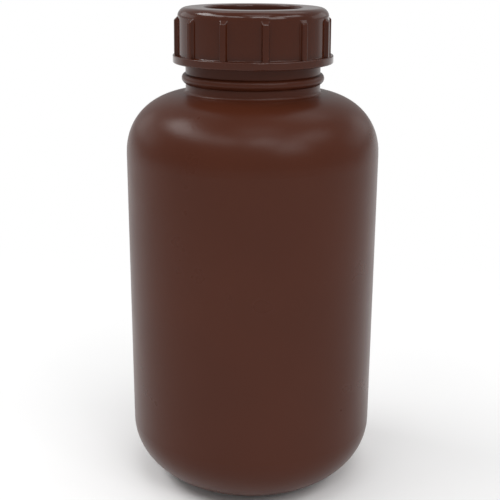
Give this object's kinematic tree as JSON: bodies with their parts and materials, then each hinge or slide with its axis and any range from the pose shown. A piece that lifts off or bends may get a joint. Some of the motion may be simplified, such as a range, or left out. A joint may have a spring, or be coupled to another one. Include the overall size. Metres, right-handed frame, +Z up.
{
  "type": "wide-mouth screw-cap bottle",
  "caption": "Round blow-moulded lab bottle with a wide neck, a ribbed screw cap with a recessed top, and a flat sealing ring under it.",
  "frame": {"origin": "middle of the foot, on the surface that the bottle stands on", "axes": "+Z up along the bottle's axis; the front, the side that faces the viewer, is -Y"},
  "size_m": [0.098, 0.098, 0.19],
  "materials": {
    "bottle_plastic": "satin blow-moulded polyethylene, opaque reddish brown",
    "ring_foam": "dull, off-white, fine closed-cell",
    "cap_plastic": "glossy injection-moulded polypropylene, dark reddish brown"
  },
  "bodies": {
    "bottle": {"bottle": "bottle_plastic"},
    "ring_carrier": {"sealing_ring": "ring_foam"},
    "cap": {"screw_cap": "cap_plastic"}
  },
  "joints": [
    {"name": "cap_rise", "type": "slide", "parent": "bottle", "child": "ring_carrier", "axis": [0, 0, 1], "range_m": [0, 0.02]},
    {"name": "cap_turn", "type": "hinge", "parent": "ring_carrier", "child": "cap", "pos_m": [0, 0, 0.18], "axis": [0, 0, 1], "range_deg": [0, 1440]}
  ],
  "couplings": [
    {"joint": "cap_rise", "follows": "cap_turn", "m_per_rad": 0.00079577}
  ]
}
